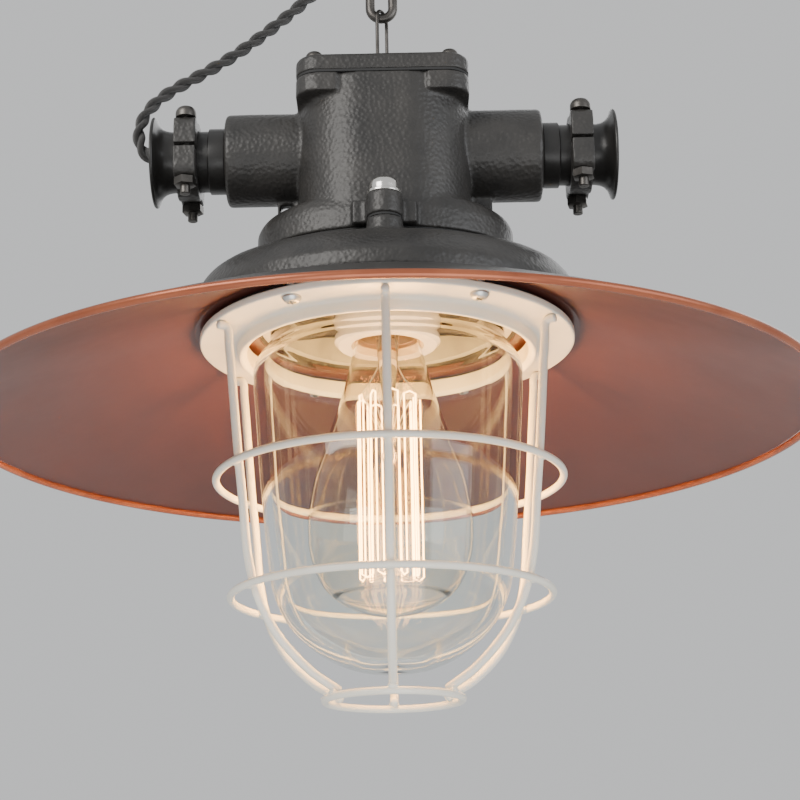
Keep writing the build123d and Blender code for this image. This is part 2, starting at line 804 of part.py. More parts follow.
with BuildPart() as holder_shell:
    with BuildSketch(level(holder_bottom_h + 3)):
        Circle(shell_r)
        Circle(shell_r - 0.6, mode=Mode.SUBTRACT)
    extrude(amount=contact_h - holder_bottom_h - 4)
save(holder_shell.part, "holder_shell")

with BuildPart() as holder_contact:
    with BuildSketch(level(contact_h)):
        Rectangle(5, 12)
    extrude(amount=0.6)
    with Locations((0, 5.4, up(contact_h + 1.4))):
        Box(5, 1.2, 1.6)
save(holder_contact.part, "holder_contact")

with BuildPart() as holder_plate:
    with BuildSketch(level(holder_top_h)):
        SlotOverall(54, 10)
        with Locations((-holder_screw_x, 0), (holder_screw_x, 0)):
            Circle(1.8, mode=Mode.SUBTRACT)
        with Locations((-lead_x, 0), (lead_x, 0)):
            Circle(1.6, mode=Mode.SUBTRACT)
        with Locations((0, -10), (0, 10)):
            Circle(1.6, mode=Mode.SUBTRACT)
    extrude(amount=1.0)
save(holder_plate.part, "holder_plate")

with BuildPart() as holder_screws:
    with BuildSketch(level(holder_top_h - 2.2)):
        with Locations((-holder_screw_x, 0), (holder_screw_x, 0)):
            Circle(3.2)
    extrude(amount=2.2)
    with BuildSketch(level(holder_top_h - 2.2)):
        with Locations((-holder_screw_x, 0), (holder_screw_x, 0)):
            Rectangle(5, 0.8)
    extrude(amount=0.9, mode=Mode.SUBTRACT)
    with BuildSketch(level(holder_top_h)):
        with Locations((-holder_screw_x, 0), (holder_screw_x, 0)):
            Circle(1.7)
    extrude(amount=3.2)
save(holder_screws.part, "holder_screws")

with BuildPart() as bulb_cap:
    with BuildSketch(Plane.XZ):
        with BuildLine():
            Polyline(
                (12.6, up(4.4)),
                (cap_r, up(5.0)),
                (cap_r, up(22.4)),
                (9.2, up(24.4)),
                (8.6, up(24.0)),
                (12.6, up(21.8)),
                (12.6, up(4.4)),
            )
        make_face()
    revolve(axis=Axis.Z)
save(bulb_cap.part, "bulb_cap")

with BuildPart() as bulb_insulator:
    with BuildSketch(level(24.4)):
        Circle(8.8)
    with BuildSketch(level(26.4)):
        Circle(5.2)
    loft()
save(bulb_insulator.part, "bulb_insulator")

with BuildPart() as bulb_contact:
    with BuildSketch(level(26.4)):
        Circle(4.6)
    extrude(amount=contact_h - 26.4 - 0.02, taper=30)
save(bulb_contact.part, "bulb_contact")

bulb_wall = 0.9
bulb_outline = [(13.9, -3.0), (17.6, -18.0), (23.4, -36.0), (29.4, -55.0), (31.95, -72.0)]
bulb_low = [(29.6, -89.0), (18.0, -102.6), (0.0, -108.4)]

with BuildPart() as bulb_glass:
    with BuildSketch(Plane.XZ):
        with BuildLine():
            collar = Line((12.4, up(20.0)), (12.4, up(4.0)))
            upper = Spline(
                collar @ 1,
                *[(r, up(h)) for r, h in bulb_outline],
                *[(r, up(h)) for r, h in bulb_low],
                tangents=((0.1, -1), (-1, 0)),
            )
            Line(upper @ 1, (0, up(-108.4 + bulb_wall)))
            inner = Spline(
                (0, up(-108.4 + bulb_wall)),
                *[(r - 0.8 * bulb_wall, up(h + 0.6 * bulb_wall)) for r, h in reversed(bulb_low[:-1])],
                *[(r - bulb_wall, up(h)) for r, h in reversed(bulb_outline)],
                (12.4 - bulb_wall, up(4.0)),
                tangents=((1, 0), (-0.1, 1)),
            )
            neck_in = Line(inner @ 1, (12.4 - bulb_wall, up(20.0)))
            Line(neck_in @ 1, collar @ 0)
        make_face()
    revolve(axis=Axis.Z)
save(bulb_glass.part, "bulb_glass")

stem_tip_h = -44.0
with BuildPart() as bulb_stem:
    with BuildSketch(level(16.0)):
        Circle(10.6)
    with BuildSketch(level(2.0)):
        Circle(4.2)
    loft()
    with BuildSketch(level(2.0)):
        Circle(4.2)
    with BuildSketch(level(-20.0)):
        Circle(2.3)
    loft()
    with BuildSketch(level(-20.0)):
        Circle(1.9)
    extrude(amount=stem_tip_h + 20.0)
    with Locations((0, 0, up(stem_tip_h))):
        Sphere(2.7)
save(bulb_stem.part, "bulb_stem")

filament_r = 12.5
filament_top_h = -22.0
filament_bottom_h = -92.0
hairpins = 9
with BuildPart() as filament:
    with BuildSketch(level(filament_bottom_h)):
        with PolarLocations(filament_r, hairpins):
            Circle(0.45)
    extrude(amount=filament_top_h - filament_bottom_h)
save(filament.part, "filament")

with BuildPart() as filament_supports:
    for height in (filament_top_h, filament_bottom_h - 0.8):
        with BuildSketch(level(height)):
            Circle(filament_r + 0.5)
            Circle(filament_r - 0.5, mode=Mode.SUBTRACT)
        extrude(amount=0.8)
save(filament_supports.part, "filament_supports")

# ---------------------------------------------------------------- cord and wires

# The cord leaves the left gland, turns up beside its mouth and climbs to the cord grip.
cord_route = [
    (-35.0, 0.0, gland_h),
    (-52.0, 0.0, gland_h),
    (-64.0, 0.3, gland_h - 0.3),
    (-77.0, 0.0, gland_h + 0.1),
    (-89.0, -0.3, 80.9),
    (-96.8, -0.6, 83.4),
    (-100.6, -0.9, 90.4),
    (-99.9, -1.0, 98.8),
    (-95.2, -0.9, 106.8),
    (-87.2, -0.6, 113.4),
    (-77.0, -0.2, 119.4),
    (-63.0, 0.2, 128.0),
    (-47.2, 0.3, 140.2),
    (-32.0, 0.0, 153.4),
    (-22.4, -0.2, 162.8),
    (-16.0, 0.0, 172.6),
    (cord_grip_x, 0.0, 183.0),
    (cord_grip_x, 0.0, 193.0),
]
cord_cuts = (11, 13)        # the route is cut into three lengths at these points


def bend_radii(points):
    """The largest arc that each corner's two runs leave room for."""
    radii = []
    for before, here, after in zip(points, points[1:], points[2:]):
        run_in = Vector(*here) - Vector(*before)
        run_out = Vector(*after) - Vector(*here)
        turn = radians(run_in.get_angle(run_out))
        radii.append(0.45 * min(run_in.length, run_out.length) / tan(turn / 2))
    return radii


def midpoint(a, b):
    """Point halfway between two route points."""
    return tuple((p + q) / 2 for p, q in zip(a, b))


def cord(points, name):
    """A plain tube along straight runs joined by tangent arcs."""
    placed = [(x, y, up(h)) for x, y, h in points]
    radii = bend_radii(placed)
    with BuildPart() as tube:
        with BuildLine() as path:
            FilletPolyline(*placed, radius=radii)
        with BuildSketch(Plane(origin=path.line @ 0, z_dir=path.line % 0)):
            Circle(cord_r)
        sweep(path=path.line)
    length = path.wires()[0].length
    expected = pi * cord_r**2 * length
    print(name, "length", round(length, 1), "least radius", round(min(radii), 1))
    print(name, "radii", [round(r, 1) for r in radii], "volume ratio", round(tube.part.volume / expected, 4))
    save(tube.part, name)


cut_low = midpoint(cord_route[cord_cuts[0]], cord_route[cord_cuts[0] + 1])
cut_high = midpoint(cord_route[cord_cuts[1]], cord_route[cord_cuts[1] + 1])
cord([*cord_route[: cord_cuts[0] + 1], cut_low], "cord_lower")
cord([cut_low, *cord_route[cord_cuts[0] + 1 : cord_cuts[1] + 1], cut_high], "cord_middle")
cord([cut_high, *cord_route[cord_cuts[1] + 1 :]], "cord_upper")

wire_r = 0.9
terminal_x = 11.0
wire_h = terminal_h + 6
with BuildPart() as lead_wires:
    for side in (-1, 1):
        with BuildLine() as lead:
            FilletPolyline(
                (side * lead_x, 0, up(holder_top_h - 2)),
                (side * lead_x, 0, up(seam_h + 7)),
                (side * terminal_x, 4.0, up(wire_h)),
                (side * terminal_x, 9.0, up(wire_h)),
                radius=1.4,
            )
        with BuildSketch(Plane(origin=lead.line @ 0, z_dir=lead.line % 0)):
            Circle(wire_r)
        sweep(path=lead.line)
save(lead_wires.part, "lead_wires")

with BuildPart() as supply_wires:
    for side in (-1, 1):
        with BuildLine() as supply:
            FilletPolyline(
                (-34, side * 1.3, up(gland_h)),
                (-22, side * 4.0, up(gland_h)),
                (side * terminal_x, 26.0, up(wire_h + 18)),
                (side * terminal_x, 26.0, up(wire_h)),
                (side * terminal_x, 18.0, up(wire_h)),
                radius=2.6,
            )
        with BuildSketch(Plane(origin=supply.line @ 0, z_dir=supply.line % 0)):
            Circle(wire_r)
        sweep(path=supply.line)
save(supply_wires.part, "supply_wires")
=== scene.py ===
"""Looks of the caged pendant light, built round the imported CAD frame. Metres, +Z up."""

import math

import bmesh
import bpy
from mathutils import Matrix, Vector, noise


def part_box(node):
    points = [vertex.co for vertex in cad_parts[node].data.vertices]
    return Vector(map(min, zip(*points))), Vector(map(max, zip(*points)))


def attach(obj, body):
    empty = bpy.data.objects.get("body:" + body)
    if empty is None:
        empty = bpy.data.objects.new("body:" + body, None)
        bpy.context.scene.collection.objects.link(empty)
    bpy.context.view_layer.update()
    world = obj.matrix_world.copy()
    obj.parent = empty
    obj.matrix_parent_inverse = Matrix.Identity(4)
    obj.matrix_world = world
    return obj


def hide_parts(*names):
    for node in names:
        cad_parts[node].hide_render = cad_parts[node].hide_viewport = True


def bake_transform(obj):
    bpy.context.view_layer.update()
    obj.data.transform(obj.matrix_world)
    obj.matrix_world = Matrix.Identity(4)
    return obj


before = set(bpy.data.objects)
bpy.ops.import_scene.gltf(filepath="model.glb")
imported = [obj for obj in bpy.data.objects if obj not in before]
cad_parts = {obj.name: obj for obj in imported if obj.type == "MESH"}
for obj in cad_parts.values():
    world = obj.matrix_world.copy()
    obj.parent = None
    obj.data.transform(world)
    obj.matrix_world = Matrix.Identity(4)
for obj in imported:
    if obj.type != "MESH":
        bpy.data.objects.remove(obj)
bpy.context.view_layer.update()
mm = 0.001
flange_thick = 3.2                                          # millimetres
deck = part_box("shade_gasket")[0].z - flange_thick * mm      # underside of the guard flange
deck_mm = deck / mm
gland_z = sum(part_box("gland_right")[i].z for i in (0, 1)) / 2
camera_pitch, camera_roll, camera_lens = 16.84, -1.13, 85.5  # degrees up, degrees of lean, millimetres
camera_xy = (0.0045, -0.7142)
camera_height = -238                                        # millimetres above the guard flange
rib_count = 6


def h(height):
    """Z of a height in millimetres above the guard flange's underside."""
    return deck + height * mm


def on_circle(radius, angle, z):
    """Point on a circle of a radius in millimetres about the vertical axis, at a Z in metres."""
    return Vector((radius * mm * math.cos(angle), radius * mm * math.sin(angle), z))


# ------------------------------------------------------------------ camera, lights, floor


def make_camera():
    pitch = math.radians(camera_pitch)
    roll = math.radians(camera_roll)
    ahead = Vector((0, math.cos(pitch), math.sin(pitch)))
    right = Vector((1, 0, 0))
    upward = Vector((0, -math.sin(pitch), math.cos(pitch)))
    side = right * math.cos(roll) + upward * math.sin(roll)
    top = upward * math.cos(roll) - right * math.sin(roll)
    data = bpy.data.cameras.new("camera")
    data.sensor_width = 36
    data.lens = camera_lens
    camera = bpy.data.objects.new("camera", data)
    facing = Matrix((side, top, -ahead)).transposed().to_4x4()
    camera.matrix_world = Matrix.Translation((*camera_xy, h(camera_height))) @ facing
    bpy.context.scene.collection.objects.link(camera)
    bpy.context.scene.camera = camera


def area_light(name, place, aim, size, power, colour=(1, 1, 1)):
    data = bpy.data.lights.new(name, "AREA")
    data.shape = "RECTANGLE"
    data.size, data.size_y = size
    data.energy = power
    data.color = colour
    lamp = bpy.data.objects.new(name, data)
    lamp.location = place
    lamp.rotation_euler = (Vector(aim) - Vector(place)).to_track_quat("-Z", "Y").to_euler()
    bpy.context.scene.collection.objects.link(lamp)


make_camera()
middle = (0, 0, h(20))
area_light("key", (-0.9, -1.1, 0.35), middle, (0.9, 0.9), 17, (1.0, 0.97, 0.93))
area_light("fill", (1.2, -0.8, -0.1), middle, (1.0, 1.0), 8, (0.93, 0.96, 1.0))
area_light("below", (0.1, -0.75, -0.85), middle, (0.8, 0.8), 5)
area_light("rim", (0.5, 1.1, 0.55), middle, (1.4, 0.8), 6)
world = bpy.data.worlds.new("world")
world.use_nodes = True
world.node_tree.nodes["Background"].inputs["Color"].default_value = (0.86, 0.87, 0.88, 1)
world.node_tree.nodes["Background"].inputs["Strength"].default_value = 0.8
bpy.context.scene.world = world


# ------------------------------------------------------------------ materials


def principled(name, colour, rough, metal=0.0, **sockets):
    """A material whose constants sit on the shader's own sockets."""
    made = bpy.data.materials.new(name)
    made.use_nodes = True
    shader = made.node_tree.nodes["Principled BSDF"]
    shader.inputs["Base Color"].default_value = (*colour, 1)
    shader.inputs["Roughness"].default_value = rough
    shader.inputs["Metallic"].default_value = metal
    for socket, value in sockets.items():
        shader.inputs[socket.replace("_", " ")].default_value = value
    return made


def add(made, kind, **values):
    node = made.node_tree.nodes.new(kind)
    for socket, value in values.items():
        node.inputs[socket.replace("_", " ")].default_value = value
    return node


def join(made, out, into):
    made.node_tree.links.new(out, into)


def mottle(made, scale, low, high):
    """Base colour that drifts between two colours over the surface."""
    shader = made.node_tree.nodes["Principled BSDF"]
    where = add(made, "ShaderNodeTexCoord")
    cloud = add(made, "ShaderNodeTexNoise", Scale=scale, Detail=4.0, Roughness=0.6)
    ramp = add(made, "ShaderNodeValToRGB")
    ramp.color_ramp.elements[0].position = 0.3
    ramp.color_ramp.elements[1].position = 0.7
    ramp.color_ramp.elements[0].color = (*low, 1)
    ramp.color_ramp.elements[1].color = (*high, 1)
    join(made, where.outputs["Object"], cloud.inputs["Vector"])
    join(made, cloud.outputs["Fac"], ramp.inputs["Fac"])
    join(made, ramp.outputs["Color"], shader.inputs["Base Color"])


def uneven(made, scale, low, high):
    """Roughness that varies over the surface."""
    shader = made.node_tree.nodes["Principled BSDF"]
    where = add(made, "ShaderNodeTexCoord")
    cloud = add(made, "ShaderNodeTexNoise", Scale=scale, Detail=3.0)
    span = add(made, "ShaderNodeMapRange", To_Min=low, To_Max=high)
    join(made, where.outputs["Object"], cloud.inputs["Vector"])
    join(made, cloud.outputs["Fac"], span.inputs["Value"])
    join(made, span.outputs["Result"], shader.inputs["Roughness"])


def bumpy(made, scale, strength, distance, detail=3.0, cells=False):
    """Raised grain: soft noise, or the cells of hammered paint."""
    shader = made.node_tree.nodes["Principled BSDF"]
    where = add(made, "ShaderNodeTexCoord")
    if cells:
        grain = add(made, "ShaderNodeTexVoronoi", Scale=scale, Randomness=1.0)
        grain.feature = "SMOOTH_F1"
        grain.inputs["Smoothness"].default_value = 0.6
        out = grain.outputs["Distance"]
    else:
        grain = add(made, "ShaderNodeTexNoise", Scale=scale, Detail=detail)
        out = grain.outputs["Fac"]
    bump = add(made, "ShaderNodeBump", Strength=strength, Distance=distance)
    join(made, where.outputs["Object"], grain.inputs["Vector"])
    join(made, out, bump.inputs["Height"])
    join(made, bump.outputs["Normal"], shader.inputs["Normal"])


def clear_glass(name, colour, rough, ior):
    """Glass that lamps shine through."""
    made = principled(name, colour, rough, IOR=ior, Transmission_Weight=1.0)
    shader = made.node_tree.nodes["Principled BSDF"]
    out = made.node_tree.nodes["Material Output"]
    through = add(made, "ShaderNodeBsdfTransparent", Color=(*colour, 1))
    rays = add(made, "ShaderNodeLightPath")
    mix = add(made, "ShaderNodeMixShader")
    join(made, rays.outputs["Is Shadow Ray"], mix.inputs[0])
    join(made, shader.outputs[0], mix.inputs[1])
    join(made, through.outputs[0], mix.inputs[2])
    join(made, mix.outputs[0], out.inputs["Surface"])
    return made


cast_black = principled("cast_black", (0.028, 0.026, 0.024), 0.42, Specular_IOR_Level=0.55)
mottle(cast_black, 60, (0.020, 0.019, 0.018), (0.040, 0.037, 0.034))
bumpy(cast_black, 620, 0.55, 0.0004, cells=True)
machined_black = principled("machined_black", (0.020, 0.019, 0.018), 0.34, Specular_IOR_Level=0.5)
uneven(machined_black, 90, 0.26, 0.42)
bumpy(machined_black, 900, 0.12, 0.0001)
shade_paint = principled("shade_paint", (0.052, 0.013, 0.009), 0.34, Coat_Weight=0.25, Coat_Roughness=0.2)
mottle(shade_paint, 9, (0.042, 0.010, 0.007), (0.066, 0.017, 0.011))
uneven(shade_paint, 30, 0.30, 0.46)
bumpy(shade_paint, 260, 0.08, 0.0002)
bead_paint = principled("bead_paint", (0.36, 0.10, 0.045), 0.26, 0.5)
mottle(bead_paint, 40, (0.28, 0.075, 0.035), (0.42, 0.13, 0.06))
shade_back = principled("shade_back", (0.022, 0.020, 0.019), 0.38)
mottle(shade_back, 12, (0.018, 0.016, 0.015), (0.034, 0.030, 0.027))
bumpy(shade_back, 500, 0.2, 0.0002)
cream = principled("cream", (0.80, 0.765, 0.67), 0.33, Coat_Weight=0.2, Coat_Roughness=0.15)
mottle(cream, 35, (0.77, 0.735, 0.63), (0.83, 0.80, 0.71))
bumpy(cream, 700, 0.06, 0.0001)
dark_steel = principled("dark_steel", (0.10, 0.095, 0.09), 0.38, 0.85)
mottle(dark_steel, 80, (0.06, 0.056, 0.052), (0.15, 0.14, 0.13))
bumpy(dark_steel, 900, 0.15, 0.0002)
zinc = principled("zinc", (0.60, 0.60, 0.58), 0.32, 1.0)
uneven(zinc, 160, 0.24, 0.42)
bright = principled("bright", (0.78, 0.76, 0.72), 0.16, 1.0)
uneven(bright, 120, 0.10, 0.24)
brass = principled("brass", (0.72, 0.53, 0.25), 0.28, 1.0)
uneven(brass, 120, 0.22, 0.40)
rubber = principled("rubber", (0.022, 0.022, 0.022), 0.75)
bumpy(rubber, 800, 0.2, 0.0002)
aluminium = principled("aluminium", (0.62, 0.61, 0.58), 0.5, 0.6)
uneven(aluminium, 60, 0.42, 0.6)
porcelain = principled("porcelain", (0.86, 0.83, 0.76), 0.18, Coat_Weight=0.5, Coat_Roughness=0.08)
mottle(porcelain, 30, (0.83, 0.80, 0.73), (0.88, 0.86, 0.80))
black_plastic = principled("black_plastic", (0.018, 0.018, 0.018), 0.22)
uneven(black_plastic, 200, 0.18, 0.30)
white_plastic = principled("white_plastic", (0.80, 0.79, 0.75), 0.45)
bumpy(white_plastic, 500, 0.1, 0.0001)
red_wire = principled("red_wire", (0.45, 0.05, 0.04), 0.3)
uneven(red_wire, 200, 0.25, 0.4)
jar_glass = clear_glass("jar_glass", (0.93, 0.965, 0.945), 0.012, 1.47)
bumpy(jar_glass, 34, 0.10, 0.0010, detail=1.5)
bulb_glass = clear_glass("bulb_glass", (0.99, 0.955, 0.90), 0.01, 1.45)
bumpy(bulb_glass, 40, 0.04, 0.0008, detail=1.0)
stem_glass = clear_glass("stem_glass", (0.95, 0.95, 0.93), 0.03, 1.45)
bumpy(stem_glass, 90, 0.08, 0.0006)

glow = principled("glow", (1.0, 0.62, 0.25), 0.5, Emission_Color=(1.0, 0.50, 0.14, 1), Emission_Strength=230.0)
uneven(glow, 100, 0.45, 0.55)

cord_fabric = principled("cord_fabric", (0.022, 0.020, 0.019), 0.82, Sheen_Weight=0.35, Sheen_Roughness=0.5)
weave = add(cord_fabric, "ShaderNodeTexWave", Scale=1.0, Distortion=0.0)
weave.wave_type = "BANDS"
weave.bands_direction = "DIAGONAL"
uv = add(cord_fabric, "ShaderNodeUVMap")
uv.uv_map = "braid"
spread = add(cord_fabric, "ShaderNodeMapping", Scale=(4.0, 4.0, 1.0))
dip = add(cord_fabric, "ShaderNodeBump", Strength=0.9, Distance=0.0004)
join(cord_fabric, uv.outputs["UV"], spread.inputs["Vector"])
join(cord_fabric, spread.outputs["Vector"], weave.inputs["Vector"])
join(cord_fabric, weave.outputs["Fac"], dip.inputs["Height"])
join(cord_fabric, dip.outputs["Normal"], cord_fabric.node_tree.nodes["Principled BSDF"].inputs["Normal"])


# ------------------------------------------------------------------ mesh makers


def finish_piece(name, mesh, body, made, nodes=(), smooth=35):
    """Puts a mesh in the scene as a piece: material, body and the nodes it stands for."""
    piece = bpy.data.objects.new(name, mesh)
    bpy.context.scene.collection.objects.link(piece)
    for one in made if isinstance(made, (list, tuple)) else [made]:
        mesh.materials.append(one)
    mesh.shade_smooth()
    if smooth:
        mesh.set_sharp_from_angle(angle=math.radians(smooth))
    if body:
        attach(piece, body)
    if nodes:
        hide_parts(*nodes)
    return piece


def mesh_from(verts, faces, name="mesh"):
    mesh = bpy.data.meshes.new(name)
    mesh.from_pydata([tuple(v) for v in verts], [], faces)
    mesh.validate()
    fix = bmesh.new()
    fix.from_mesh(mesh)
    bmesh.ops.remove_doubles(fix, verts=fix.verts, dist=1e-7)
    bmesh.ops.recalc_face_normals(fix, faces=fix.faces)
    fix.to_mesh(mesh)
    fix.free()
    return mesh


def rounded(points, radius, steps=4):
    """Closed or open profile of (r, height) points with its corners rounded."""
    made = []
    count = len(points)
    for i, here in enumerate(points):
        before, after = points[i - 1], points[(i + 1) % count]
        a = Vector(before[:2]) - Vector(here[:2])
        b = Vector(after[:2]) - Vector(here[:2])
        cut = min(radius if len(here) < 3 else here[2], a.length * 0.45, b.length * 0.45)
        if cut < 1e-4 or abs(a.normalized().dot(b.normalized())) > 0.9995:
            made.append(tuple(here[:2]))
            continue
        start = Vector(here[:2]) + a.normalized() * cut
        end = Vector(here[:2]) + b.normalized() * cut
        for k in range(steps + 1):
            t = k / steps
            made.append(tuple(start * (1 - t) ** 2 + Vector(here[:2]) * 2 * t * (1 - t) + end * t * t))
    return made


def spin(profile, steps=160, closed=True, place=None):
    """Turns a profile of (r, height) millimetres about the vertical axis. place maps the result."""
    verts, faces = [], []
    n = len(profile)
    for s in range(steps):
        a = 2 * math.pi * s / steps
        for r, high in profile:
            verts.append(on_circle(r, a, high * mm))
    last = n if closed else n - 1
    for s in range(steps):
        t = (s + 1) % steps
        for i in range(last):
            j = (i + 1) % n
            faces.append((s * n + i, s * n + j, t * n + j, t * n + i))
    if place is not None:
        verts = [place @ v for v in verts]
    return verts, faces


def merge(*parts):
    verts, faces = [], []
    for v, f in parts:
        base = len(verts)
        verts += v
        faces += [tuple(i + base for i in face) for face in f]
    return verts, faces


def smooth_line(points, per_span=8, closed=False):
    """Catmull-Rom line through points, as Vectors."""
    pts = [Vector(p) for p in points]
    n = len(pts)
    out = []
    spans = n if closed else n - 1
    for i in range(spans):
        if closed:
            p0, p1, p2, p3 = pts[i - 1], pts[i], pts[(i + 1) % n], pts[(i + 2) % n]
        else:
            p1, p2 = pts[i], pts[i + 1]
            p0 = pts[i - 1] if i else p1 * 2 - p2
            p3 = pts[i + 2] if i + 2 < n else p2 * 2 - p1
        for k in range(per_span):
            t = k / per_span
            out.append(
                0.5 * (2 * p1 + (p2 - p0) * t + (2 * p0 - 5 * p1 + 4 * p2 - p3) * t * t
                       + (3 * p1 - p0 - 3 * p2 + p3) * t ** 3)
            )
    if not closed:
        out.append(pts[-1])
    return out


def pipe(line, radius, sides=20, closed=False, domed=True):
    """Round tube along a line; radius is a number or one per point. Ends are closed with domes."""
    n = len(line)
    sizes = radius if isinstance(radius, list) else [radius] * n
    ahead = []
    for i in range(n):
        a = line[(i - 1) % n] if closed or i else line[0]
        b = line[(i + 1) % n] if closed or i < n - 1 else line[-1]
        ahead.append((b - a).normalized())
    normal = ahead[0].orthogonal().normalized()
    frames = []
    for i in range(n):
        normal = (normal - ahead[i] * normal.dot(ahead[i])).normalized()
        frames.append((normal.copy(), ahead[i].cross(normal)))
    twist = 0.0
    if closed:
        carried = (normal - ahead[0] * normal.dot(ahead[0])).normalized()
        twist = math.atan2(carried.dot(frames[0][1]), carried.dot(frames[0][0]))
    rings = []
    for i in range(n):
        lean = -twist * i / n
        u, v = frames[i]
        ring = []
        for k in range(sides):
            a = 2 * math.pi * k / sides + lean
            ring.append(line[i] + (u * math.cos(a) + v * math.sin(a)) * sizes[i])
        rings.append(ring)
    if domed and not closed:
        for end, sign in ((0, -1), (n - 1, 1)):
            caps = []
            u, v = frames[end]
            for step in (30, 60, 80):
                f = math.radians(step)
                centre = line[end] + ahead[end] * sign * sizes[end] * 0.45 * math.sin(f)
                caps.append([
                    centre + (u * math.cos(2 * math.pi * k / sides) + v * math.sin(2 * math.pi * k / sides))
                    * sizes[end] * math.cos(f)
                    for k in range(sides)
                ])
            rings = caps[::-1] + rings if sign < 0 else rings + caps
    verts = [v for ring in rings for v in ring]
    count = len(rings)
    faces = []
    for i in range(count if closed else count - 1):
        j = (i + 1) % count
        for k in range(sides):
            m = (k + 1) % sides
            faces.append((i * sides + k, i * sides + m, j * sides + m, j * sides + k))
    if not closed:
        faces.append(tuple(range(sides))[::-1])
        faces.append(tuple(range((count - 1) * sides, count * sides)))
    return verts, faces


def turn(angle):
    return Matrix.Rotation(math.radians(angle), 4, "Z")


def recast(name, voxel, rounds, wobble):
    """A copy of a cast CAD node whose edges are rounded and whose faces are slightly uneven."""
    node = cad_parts[name]
    mesh = node.data.copy()
    mesh.materials.clear()
    piece = bpy.data.objects.new(name + "_skin", mesh)
    bpy.context.scene.collection.objects.link(piece)
    weld = bmesh.new()
    weld.from_mesh(mesh)
    bmesh.ops.remove_doubles(weld, verts=weld.verts, dist=1e-6)
    weld.to_mesh(mesh)
    weld.free()
    grid = piece.modifiers.new("grid", "REMESH")
    grid.mode = "VOXEL"
    grid.voxel_size = voxel * mm
    soft = piece.modifiers.new("soft", "SMOOTH")
    soft.factor = 0.5
    soft.iterations = rounds
    shaped = bpy.data.meshes.new_from_object(piece.evaluated_get(bpy.context.evaluated_depsgraph_get()))
    bpy.data.objects.remove(piece)
    spots = [v.co + v.normal * (noise.noise(v.co * 90) * wobble * mm) for v in shaped.vertices]
    shaped.vertices.foreach_set("co", [c for spot in spots for c in spot])
    finish_piece(name + "_skin", shaped, "pendant", cast_black, [name], smooth=0)


# ------------------------------------------------------------------ shade


shade_thick = 1.2
bead_r, bead_height, bead_wire = 168.1, -32.1, 1.55


def shade_pieces():
    inside = [(51, 5.2), (60, 5.2), (74.0, 5.2), (77, 4.9), (84, 2.4), (98, -2.6), (112, -8.0), (126, -13.7),
              (140, -19.6), (153, -25.2), (162, -29.2), (166.6, -31.3)]
    low = smooth_line([(r, 0, v) for r, v in inside], 5)
    outline = [(p.x, p.z) for p in low]
    upper = []
    for i, (r, v) in enumerate(outline):
        a = outline[max(i - 1, 0)]
        b = outline[min(i + 1, len(outline) - 1)]
        d = Vector((b[0] - a[0], b[1] - a[1])).normalized()
        upper.append((r - d.y * shade_thick, v + d.x * shade_thick))
    verts, faces = spin([(r, v + deck_mm) for r, v in outline + upper[::-1]], 220)
    mesh = mesh_from(verts, faces)
    finish_piece("shade_skin", mesh, "pendant", [shade_paint, shade_back], ["shade"], 50)
    for face in mesh.polygons:
        if face.normal.z > 0.15:
            face.material_index = 1
    bead = [(bead_r + bead_wire * math.cos(a), bead_height + deck_mm + bead_wire * math.sin(a))
            for a in [2 * math.pi * k / 14 for k in range(14)]]
    finish_piece("shade_bead", mesh_from(*spin(bead, 260)), "pendant", bead_paint)


shade_pieces()


# ------------------------------------------------------------------ guard: flange, ribs, rings


screw_angles = (29.5, 150.5, 209.5, 330.5)
screw_circle = 69.8
# name, radius and height of each ring
ring_sizes = (("upper", 67.25, -54.5), ("lower", 61.3, -100.3), ("bottom", 25.9, -139.3))


def flange_piece():
    d = deck_mm
    outline = rounded(
        [(55.6, flange_thick + d), (55.6, -3.4 + d), (57.2, -5.0 + d, 0.9), (58.6, -5.0 + d, 0.9),
         (59.0, -3.6 + d, 0.8), (59.0, 0.0 + d, 2.2), (74.0, 0.0 + d, 0.9), (74.0, flange_thick + d, 0.9)],
        0.4, 5)
    finish_piece("flange_skin", mesh_from(*spin(outline, 200)), "pendant", cream,
                 ["guard_flange"])


def rib_angle(number):
    return -90 + number * 360 // rib_count


def rib_line():
    """One rib's centre line, from its foot under the flange to the bottom ring."""
    foot = [(73.2, -1.75), (71.4, -1.72), (69.8, -2.3), (69.05, -4.2), (68.9, -8)]
    leg = [(67.9, -18), (66.6, -32), (64.9, -50), (62.7, -70), (61.6, -82)]
    bend = [(60.3, -91), (57.9, -100.3), (54.0, -109.5), (46.8, -120.0), (35.3, -130.2), (23.4, -136.9)]
    return [Vector((r * mm, 0, h(v))) for r, v in foot + leg + bend]


def cage_pieces():
    for number in range(rib_count):
        line = [turn(rib_angle(number)) @ p for p in smooth_line(rib_line(), 7)]
        name = f"cage_rib_{number + 1}"
        finish_piece(name + "_skin", mesh_from(*pipe(line, 1.65 * mm)), "pendant", cream,
                     [name], 60)
    for name, radius, high in ring_sizes:
        count = 90 if name == "bottom" else 150
        line = [on_circle(radius, 2 * math.pi * k / count, h(high)) for k in range(count)]
        hoop = pipe(line, 1.45 * mm, closed=True)
        welds = []
        for number in range(rib_count):
            # a small bead of weld where the ring crosses each rib
            angle = math.radians(rib_angle(number))
            if name == "bottom":
                spot = on_circle(radius, angle, h(high + 1.5))
            else:
                spot = on_circle(radius - 1.55, angle, h(high))
            along = Vector((-math.sin(angle), math.cos(angle), 0)) * 1.6 * mm
            welds.append(pipe([spot - along, spot - along * 0.4, spot + along * 0.4, spot + along],
                              [0.9 * mm, 1.45 * mm, 1.45 * mm, 0.9 * mm], 14))
        finish_piece(f"cage_ring_{name}_skin", mesh_from(*merge(hoop, *welds)), "pendant", cream,
                     [f"cage_ring_{name}"], 60)


flange_piece()
cage_pieces()


